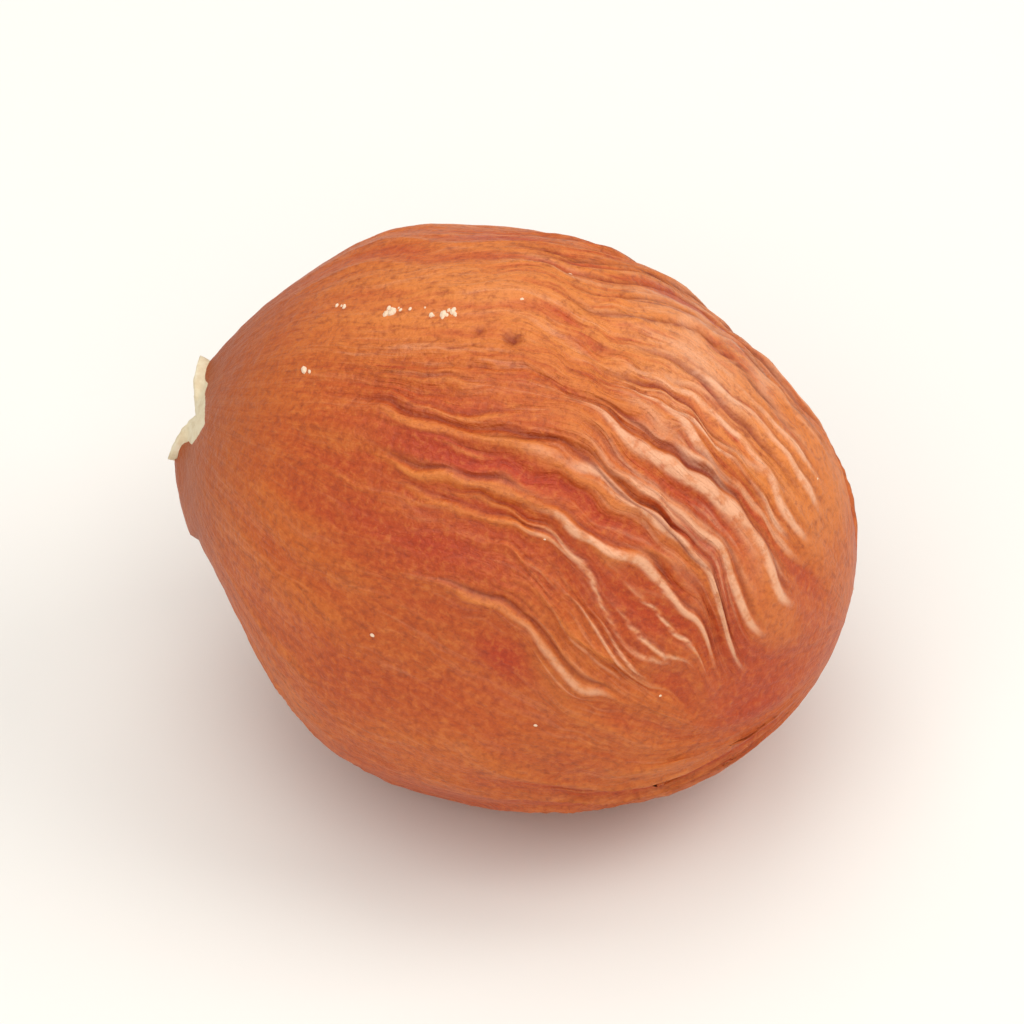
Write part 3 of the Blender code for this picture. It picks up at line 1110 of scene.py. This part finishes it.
class HazelnutSkin(bpy.types.PropertyGroup):
    fold_share: FloatProperty(
        name="Fold share", description="How much of the folds' height there is", default=1.0, min=0.0)
    wrinkle_depth: FloatProperty(
        name="Wrinkle depth", description="Depth of the fine wrinkles along the folds",
        default=0.07 * MM, unit="LENGTH", precision=5)
    grain_depth: FloatProperty(
        name="Grain depth", description="Depth of the leathery grain",
        default=0.05 * MM, unit="LENGTH", precision=5)
    dimple_depth: FloatProperty(
        name="Dimple depth", description="Depth of the dimples in the red patches",
        default=0.06 * MM, unit="LENGTH", precision=5)
    bump_depth: FloatProperty(
        name="Bump depth", description="Depth of the finest grain, in the material",
        default=0.07 * MM, unit="LENGTH", precision=5)
    main_colour: FloatVectorProperty(
        name="Skin", description="Colour of plain skin", subtype="COLOR", default=(0.52, 0.092, 0.010))
    warm_colour: FloatVectorProperty(
        name="Warm blotches", description="Colour of the large soft blotches",
        subtype="COLOR", default=(0.60, 0.135, 0.016))
    # Also painted sheen in the pale patches on the upper side
    worn_and_sheen_colour: FloatVectorProperty(
        name="Worn skin", description="Colour of worn, lighter skin",
        subtype="COLOR", default=(0.72, 0.215, 0.040))
    valley_colour: FloatVectorProperty(
        name="Valleys", description="Colour between the folds", subtype="COLOR",
        default=(0.46, 0.038, 0.006))
    brown_colour: FloatVectorProperty(
        name="Brown grain", description="Colour of the darker grain, and of the skin near the root tip",
        subtype="COLOR", default=(0.34, 0.070, 0.014))
    # Painted shade in the grooves, creases, pits and the flap's crack, and also the grain's dark flecks
    crease_shade_and_fleck_colour: FloatVectorProperty(
        name="Creases", description="Colour deep in the creases", subtype="COLOR",
        default=(0.20, 0.016, 0.004))
    # Also painted sheen where the pale patches are strongest
    crest_and_sheen_colour: FloatVectorProperty(
        name="Crests", description="Colour of the bold crests", subtype="COLOR",
        default=(0.84, 0.42, 0.24))


class HAZELNUT_OT_skin(bpy.types.Operator):
    """Builds the wrinkled skin over the kernel"""

    bl_idname = "hazelnut.skin"
    bl_label = "Wrinkled Skin"

    def execute(self, context):
        skin = context.scene.hazelnut_skin
        values = {
            "Fold Share": skin.fold_share,
            "Wrinkle Depth": skin.wrinkle_depth,
            "Grain Depth": skin.grain_depth,
            "Dimple Depth": skin.dimple_depth,
            "Material": skin_material(skin),
        }
        piece = made_by_nodes("skin", skin_base_mesh(Form()), wrinkled_skin_tree(), values)
        piece.data.shade_smooth()
        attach(piece, BODY)
        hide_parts(NODE)
        return {"FINISHED"}


# Root tip


def flesh_mesh(form):
    """The pale flesh that the torn skin bares: a plug with a broken, notched end."""
    lines = (2 * math.pi * np.arange(FLESH_COLUMNS) / FLESH_COLUMNS).tolist()

    def flesh_radius(x, line):
        return max(form.radius(max(x, STUB_LENGTH), line) - FLESH_UNDER, FLESH_LEAST_RADIUS)

    def rough(point):
        return noise.noise(point * FACE_GRAIN) + 0.5 * noise.noise(point * FACE_GRAIN * FINER_GRAIN)

    rows = []
    for step in range(1, FACE_ROWS + 1):
        share = step / (FACE_ROWS + 1)
        row = []
        for line in lines:
            point = form.point(tip_edge(line, share), share * flesh_radius(tip_edge(line), line), line)
            row.append(point + form.axis * FACE_ROUGHNESS * rough(point))
        rows.append(row)
    for step in range(FLESH_ROWS):
        share = step / (FLESH_ROWS - 1)
        under = smooth_step(0, 0.5, share) * FLESH_NARROWING
        row = []
        for line in lines:
            x = tip_edge(line) + (FLESH_HIDDEN - tip_edge(line)) * share
            point = form.point(x, flesh_radius(x, line) - under, line)
            row.append(point + form.outward(line) * FACE_ROUGHNESS * 0.5 * rough(point) * (1 - share))
        rows.append(row)
    first, last = form.point(FLESH_NOTCH, 0.0, 0.0), form.point(FLESH_HIDDEN, 0.0, 0.0)
    return grid_mesh("root_tip", rows, first, last)


def flesh_material(tip):
    material, tree, shader = new_material("bared_flesh")
    colour, height = mottle(tree, opaque(tip.flesh_colour), opaque(tip.stain_colour),
                            opaque(tip.fresh_colour), 0.35 * MM, 0.5, object_place(tree))
    tree.links.new(colour, shader.inputs["Base Color"])
    shader.inputs["Roughness"].default_value = 0.75
    add_bump(tree, shader, height, 0.06 * MM, 0.8)
    return material


class HazelnutTip(bpy.types.PropertyGroup):
    flesh_colour: FloatVectorProperty(
        name="Flesh", description="Colour of the bared flesh", subtype="COLOR",
        default=(0.78, 0.67, 0.46))
    stain_colour: FloatVectorProperty(
        name="Stains", description="Colour of the stained hollows in the flesh",
        subtype="COLOR", default=(0.55, 0.38, 0.20))
    fresh_colour: FloatVectorProperty(
        name="Fresh breaks", description="Colour of the flesh's newest breaks",
        subtype="COLOR", default=(0.90, 0.83, 0.66))


class HAZELNUT_OT_root_tip(bpy.types.Operator):
    """Builds the pale broken end of the root"""

    bl_idname = "hazelnut.root_tip"
    bl_label = "Broken Root Tip"

    def execute(self, context):
        mesh = flesh_mesh(Form())
        mesh.materials.append(flesh_material(context.scene.hazelnut_tip))
        piece = bpy.data.objects.new("root_tip", mesh)
        context.scene.collection.objects.link(piece)
        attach(piece, BODY)
        return {"FINISHED"}


# Crumbs


def crumbs_tree():
    """Scatters small flat crumbs over the skin, thickly where its dust mask is high."""
    tree, given, result = new_group(
        "Crumbs",
        "GeometryNodeTree",
        (
            ("Geometry", "Geometry", None),
            ("Crumbs per Square Metre", "Float", 40e6),
            ("Smallest", "Float", 0.02 * MM),
            ("Largest", "Float", 0.08 * MM),
            ("Seed", "Int", 3),
            ("Material", "Material", None),
        ),
        (("Geometry", "Geometry"),),
    )
    dust = named_attribute(tree, "dust")
    seed = given.outputs["Seed"]
    density = times(tree, dust, given.outputs["Crumbs per Square Metre"])
    spread = add_node(tree, "GeometryNodeDistributePointsOnFaces",
                      {"Mesh": given.outputs["Geometry"], "Density": density, "Seed": seed})
    crumb = add_node(tree, "GeometryNodeMeshIcoSphere", {"Radius": 1.0, "Subdivisions": 2})
    place = add_node(tree, "GeometryNodeInputPosition").outputs[0]
    dent = add_node(tree, "ShaderNodeTexNoise", {"Vector": place, "Scale": 1.6}).outputs[1]
    dent = add_node(tree, "ShaderNodeVectorMath", {0: dent, 1: (0.5, 0.5, 0.5)}, operation="SUBTRACT")
    rough = add_node(tree, "GeometryNodeSetPosition",
                     {"Geometry": crumb.outputs["Mesh"], "Offset": dent.outputs[0]})
    # Inputs 2 and 3 of a random number are its least and its greatest
    size = add_node(tree, "FunctionNodeRandomValue", data_type="FLOAT")
    fill(tree, size, {2: given.outputs["Smallest"], 3: given.outputs["Largest"], "Seed": seed})
    size = times(tree, size.outputs[1], ramp(tree, dust, 0.0, 0.4, 0.45, 1.0))
    placed = add_node(tree, "GeometryNodeInstanceOnPoints", {
        "Points": spread.outputs["Points"],
        "Instance": rough.outputs[0],
        "Rotation": spread.outputs["Rotation"],
        "Scale": scaled(tree, size, (1.2, 0.9, 0.6)),
    })
    return finish_tree(tree, placed.outputs[0], given.outputs["Material"], result)


def crumb_material(crumbs):
    material, tree, shader = new_material("crumb")
    colour, height = mottle(tree, opaque(crumbs.colour), opaque(crumbs.dark_colour),
                            opaque(crumbs.colour), 0.10 * MM, 0.6, object_place(tree))
    tree.links.new(colour, shader.inputs["Base Color"])
    shader.inputs["Roughness"].default_value = 0.8
    add_bump(tree, shader, height, 0.02 * MM, 0.5)
    return material


class HazelnutCrumbs(bpy.types.PropertyGroup):
    density: FloatProperty(
        name="Density", description="Crumbs on a square metre where they lie thickest", default=110e6)
    smallest: FloatProperty(
        name="Smallest", description="Radius of the smallest crumb", default=0.03 * MM,
        unit="LENGTH", precision=5)
    largest: FloatProperty(
        name="Largest", description="Radius of the largest crumb", default=0.12 * MM,
        unit="LENGTH", precision=5)
    seed: IntProperty(name="Seed", description="Another number scatters the crumbs anew", default=3)
    colour: FloatVectorProperty(
        name="Crumbs", description="Colour of the crumbs", subtype="COLOR", default=(0.86, 0.66, 0.48))
    dark_colour: FloatVectorProperty(
        name="Crumb stains", description="Darker colour on the crumbs", subtype="COLOR",
        default=(0.60, 0.34, 0.18))


class HAZELNUT_OT_crumbs(bpy.types.Operator):
    """Scatters whitish crumbs of flesh and dust over the skin"""

    bl_idname = "hazelnut.crumbs"
    bl_label = "Crumbs"

    def execute(self, context):
        crumbs = context.scene.hazelnut_crumbs
        values = {
            "Crumbs per Square Metre": crumbs.density,
            "Smallest": crumbs.smallest,
            "Largest": crumbs.largest,
            "Seed": crumbs.seed,
            "Material": crumb_material(crumbs),
        }
        mesh = bpy.data.objects["skin"].data.copy()
        piece = made_by_nodes("crumbs", mesh, crumbs_tree(), values)
        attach(piece, BODY)
        return {"FINISHED"}


# Stage


def add_softbox(name, location, target, size, power, colour):
    """Adds a soft rectangular light that shines at a target."""
    light = bpy.data.lights.new(name, "AREA")
    light.shape = "RECTANGLE"
    light.size, light.size_y = size
    light.energy = power
    light.color = colour
    lamp = bpy.data.objects.new(name, light)
    lamp.location = location
    lamp.rotation_euler = (target - location).to_track_quat("-Z", "Y").to_euler()
    bpy.context.scene.collection.objects.link(lamp)


def direction(azimuth, elevation):
    """From the kernel towards a place seen at this azimuth and elevation."""
    return Vector((
        math.sin(azimuth) * math.cos(elevation),
        -math.cos(azimuth) * math.cos(elevation),
        math.sin(elevation),
    ))


class HazelnutStage(bpy.types.PropertyGroup):
    azimuth: FloatProperty(
        name="Azimuth", description="Where the camera stands", default=math.radians(15.5), subtype="ANGLE")
    elevation: FloatProperty(
        name="Elevation", description="How high the camera stands", default=math.radians(45),
        subtype="ANGLE")
    lens: FloatProperty(
        name="Lens", description="Focal length in millimetres", default=600.0, unit="CAMERA")
    fill: FloatProperty(
        name="Fill", description="Share of the picture's width that the kernel takes", default=0.68)
    key_power: FloatProperty(
        name="Key light", description="Power of the soft light from the right", default=0.13)
    top_power: FloatProperty(
        name="Top light", description="Power of the soft light from behind", default=0.11)
    front_power: FloatProperty(
        name="Front light", description="Power of the large soft light from the front", default=0.33)
    sky_strength: FloatProperty(
        name="Sky", description="Strength of the even light all round", default=0.50)
    floor_colour: FloatVectorProperty(
        name="Floor", description="Colour of the floor", subtype="COLOR", default=(0.86, 0.85, 0.81))


class HAZELNUT_OT_stage(bpy.types.Operator):
    """Sets up the pale floor, the soft lights and the camera"""

    bl_idname = "hazelnut.stage"
    bl_label = "Stage"

    def execute(self, context):
        stage = context.scene.hazelnut_stage
        low, high = Vector(CAD_BOX[0]), Vector(CAD_BOX[1])
        middle = (low + high) / 2
        self.add_floor(stage)
        self.add_world(stage)
        for name, (azimuth, elevation, distance, size, colour) in LAMPS.items():
            place = middle + direction(math.radians(azimuth), math.radians(elevation)) * distance
            power = getattr(stage, name + "_power")
            add_softbox(name + "_light", place, middle, size, power, colour)
        self.add_camera(stage, middle, high - low)
        context.scene.view_settings.view_transform = "Standard"
        return {"FINISHED"}

    def add_floor(self, stage):
        material, tree, shader = new_material("pale_floor")
        colour = opaque(stage.floor_colour)
        light = opaque([min(1.0, 1.02 * part) for part in stage.floor_colour])
        colour, _ = mottle(tree, colour, colour, light, 8 * MM, 0.3, object_place(tree))
        tree.links.new(colour, shader.inputs["Base Color"])
        shader.inputs["Roughness"].default_value = 0.8
        mesh = bpy.data.meshes.new("floor")
        signs = ((-1, -1), (1, -1), (1, 1), (-1, 1))
        corners = [(x * FLOOR_REACH, y * FLOOR_REACH, 0) for x, y in signs]
        mesh.from_pydata(corners, [], [(0, 1, 2, 3)])
        mesh.materials.append(material)
        floor = bpy.data.objects.new("floor", mesh)
        bpy.context.scene.collection.objects.link(floor)

    def add_world(self, stage):
        world = bpy.data.worlds.new("studio")
        world.use_nodes = True
        background = world.node_tree.nodes["Background"]
        background.inputs["Color"].default_value = opaque(SKY_COLOUR)
        background.inputs["Strength"].default_value = stage.sky_strength
        bpy.context.scene.world = world

    def add_camera(self, stage, middle, size):
        data = bpy.data.cameras.new("camera")
        data.lens = stage.lens
        data.clip_start = 0.001
        back = direction(stage.azimuth, stage.elevation)
        distance = size.x / stage.fill * stage.lens / data.sensor_width
        camera = bpy.data.objects.new("camera", data)
        camera.location = middle + back * distance
        camera.rotation_euler = back.to_track_quat("Z", "Y").to_euler()
        bpy.context.scene.collection.objects.link(camera)
        bpy.context.scene.camera = camera


class HAZELNUT_PT_kernel(bpy.types.Panel):
    """Lists the kernel's sizes and colours and builds its pieces"""

    bl_idname = "HAZELNUT_PT_kernel"
    bl_label = "Hazelnut Kernel"
    bl_space_type = "VIEW_3D"
    bl_region_type = "UI"
    bl_category = "Hazelnut"

    def draw(self, context):
        for name, (settings, operator) in PIECES.items():
            box = self.layout.box()
            for title in settings.__annotations__:
                box.prop(getattr(context.scene, name), title)
            box.operator(operator.bl_idname)


PIECES = {
    "hazelnut_skin": (HazelnutSkin, HAZELNUT_OT_skin),
    "hazelnut_tip": (HazelnutTip, HAZELNUT_OT_root_tip),
    "hazelnut_crumbs": (HazelnutCrumbs, HAZELNUT_OT_crumbs),
    "hazelnut_stage": (HazelnutStage, HAZELNUT_OT_stage),
}


def register():
    for name, (settings, operator) in PIECES.items():
        bpy.utils.register_class(settings)
        setattr(bpy.types.Scene, name, PointerProperty(type=settings))
        bpy.utils.register_class(operator)
    bpy.utils.register_class(HAZELNUT_PT_kernel)


def unregister():
    bpy.utils.unregister_class(HAZELNUT_PT_kernel)
    for name, (settings, operator) in PIECES.items():
        bpy.utils.unregister_class(operator)
        delattr(bpy.types.Scene, name)
        bpy.utils.unregister_class(settings)


def main():
    register()
    bpy.ops.hazelnut.skin()
    bpy.ops.hazelnut.root_tip()
    bpy.ops.hazelnut.crumbs()
    bpy.ops.hazelnut.stage()


if __name__ == "__main__":
    main()
